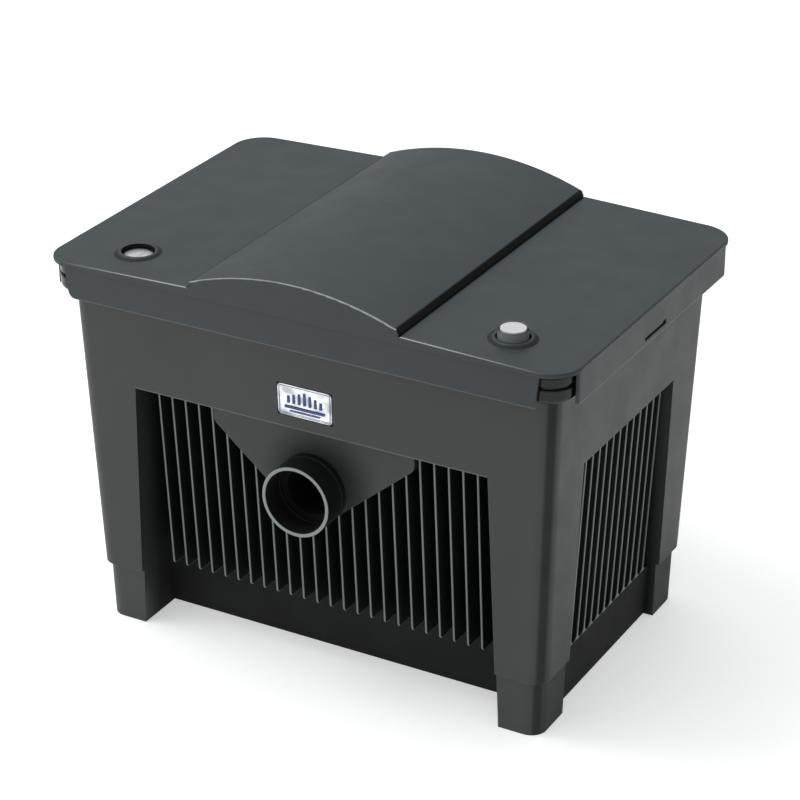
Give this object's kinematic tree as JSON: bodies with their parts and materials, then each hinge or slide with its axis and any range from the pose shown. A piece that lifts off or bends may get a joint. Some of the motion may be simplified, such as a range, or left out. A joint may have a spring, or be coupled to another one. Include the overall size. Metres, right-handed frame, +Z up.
{
  "type": "pond filter",
  "caption": "Gravity pond filter box on four posts with ribbed recesses, barrel-topped lift-off lid, two round indicators, foam cartridges inside and a round outlet pipe in front.",
  "frame": {"origin": "on the ground under the middle of the box", "axes": "+X to the right along the length, -Y towards the outlet (front), +Z up"},
  "size_m": [0.555, 0.3802, 0.427],
  "materials": {
    "tub_plastic": "satin moulded",
    "lid_plastic": "satin moulded",
    "fitting_plastic": "satin",
    "seal_rubber": "matt",
    "badge_metal": "brushed",
    "grid_plastic": "matt",
    "steel": "bright",
    "latch_plastic": "satin",
    "sleeve_plastic": "gloss",
    "clear_plastic": "clear",
    "white_plastic": "gloss",
    "pointer_plastic": "gloss",
    "float_plastic": "satin",
    "handle_red": "satin",
    "foam_blue": "open-cell foam",
    "foam_red": "open-cell foam",
    "handle_plastic": "satin"
  },
  "bodies": {
    "tub": {"tub": "tub_plastic", "front_ribs": "tub_plastic", "rear_ribs": "tub_plastic", "end_ribs_right": "tub_plastic", "end_ribs_left": "tub_plastic", "rim_seal": "seal_rubber", "badge_plate": "badge_metal", "outlet_pipe": "fitting_plastic", "outlet_seal": "seal_rubber", "outlet_locknut": "fitting_plastic", "outlet_chamber_cover": "tub_plastic", "collector_deck": "grid_plastic", "cartridge_frame": "grid_plastic", "inlet_bulkhead": "fitting_plastic", "inlet_seal": "seal_rubber", "inlet_locknut": "fitting_plastic", "inlet_gasket": "seal_rubber", "inlet_union_nut": "fitting_plastic", "inlet_hose_tail": "fitting_plastic", "inlet_deflector": "fitting_plastic", "drain_spigot": "fitting_plastic", "drain_seal": "seal_rubber", "drain_locknut": "fitting_plastic", "drain_valve_body": "fitting_plastic", "drain_bonnet": "fitting_plastic", "drain_stub": "fitting_plastic", "drain_cap": "fitting_plastic", "latch_pins": "steel"},
    "lid": {"lid": "lid_plastic", "indicator_guide": "sleeve_plastic", "thermometer_housing": "sleeve_plastic", "thermometer_dial": "white_plastic", "thermometer_lens": "clear_plastic", "thermometer_probe": "steel"},
    "thermometer_pointer": {"thermometer_pointer": "pointer_plastic"},
    "indicator": {"indicator_cap": "clear_plastic", "indicator_disc": "white_plastic", "indicator_rod": "float_plastic", "indicator_float": "float_plastic"},
    "latch_right": {"latch_clip_right": "latch_plastic"},
    "latch_left": {"latch_clip_left": "latch_plastic"},
    "drain_gate": {"drain_gate": "grid_plastic", "drain_handle": "handle_red"},
    "cartridge_1": {"foam_1": "foam_blue", "foam_core_1": "grid_plastic", "foam_base_1": "grid_plastic", "foam_top_1": "handle_plastic"},
    "cartridge_2": {"foam_2": "foam_red", "foam_core_2": "grid_plastic", "foam_base_2": "grid_plastic", "foam_top_2": "handle_plastic"},
    "cartridge_3": {"foam_3": "foam_red", "foam_core_3": "grid_plastic", "foam_base_3": "grid_plastic", "foam_top_3": "handle_plastic"},
    "cartridge_4": {"foam_4": "foam_blue", "foam_core_4": "grid_plastic", "foam_base_4": "grid_plastic", "foam_top_4": "handle_plastic"}
  },
  "joints": [
    {"name": "lid_lift", "type": "slide", "parent": "tub", "child": "lid", "axis": [0, 0, 1], "range_m": [0, 0.62]},
    {"name": "thermometer_turn", "type": "hinge", "parent": "lid", "child": "thermometer_pointer", "pos_m": [-0.1995, -0.139, 0.389], "axis": [0, 0, 1], "range_deg": [-60, 60]},
    {"name": "indicator_float", "type": "slide", "parent": "lid", "child": "indicator", "axis": [0, 0, 1], "range_m": [-0.012, 0.004]},
    {"name": "latch_right_press", "type": "hinge", "parent": "tub", "child": "latch_right", "pos_m": [0.263, 0, 0.3614], "axis": [0, 1, 0], "range_deg": [-9, 0], "stiffness_Nm_per_rad": 0.3},
    {"name": "latch_left_press", "type": "hinge", "parent": "tub", "child": "latch_left", "pos_m": [-0.263, 0, 0.3614], "axis": [0, 1, 0], "range_deg": [0, 9], "stiffness_Nm_per_rad": 0.3},
    {"name": "drain_gate_lift", "type": "slide", "parent": "tub", "child": "drain_gate", "axis": [0, 0, 1], "range_m": [0, 0.027]},
    {"name": "cartridge_lift_1", "type": "slide", "parent": "tub", "child": "cartridge_1", "axis": [0, 0, 1], "range_m": [0, 0.345]},
    {"name": "cartridge_lift_2", "type": "slide", "parent": "tub", "child": "cartridge_2", "axis": [0, 0, 1], "range_m": [0, 0.345]},
    {"name": "cartridge_lift_3", "type": "slide", "parent": "tub", "child": "cartridge_3", "axis": [0, 0, 1], "range_m": [0, 0.345]},
    {"name": "cartridge_lift_4", "type": "slide", "parent": "tub", "child": "cartridge_4", "axis": [0, 0, 1], "range_m": [0, 0.345]}
  ],
  "couplings": [
    {"joint": "cartridge_lift_1", "follows": "lid_lift", "ratio": 0.55},
    {"joint": "cartridge_lift_2", "follows": "lid_lift", "ratio": 0.55},
    {"joint": "cartridge_lift_3", "follows": "lid_lift", "ratio": 0.55},
    {"joint": "cartridge_lift_4", "follows": "lid_lift", "ratio": 0.55}
  ]
}
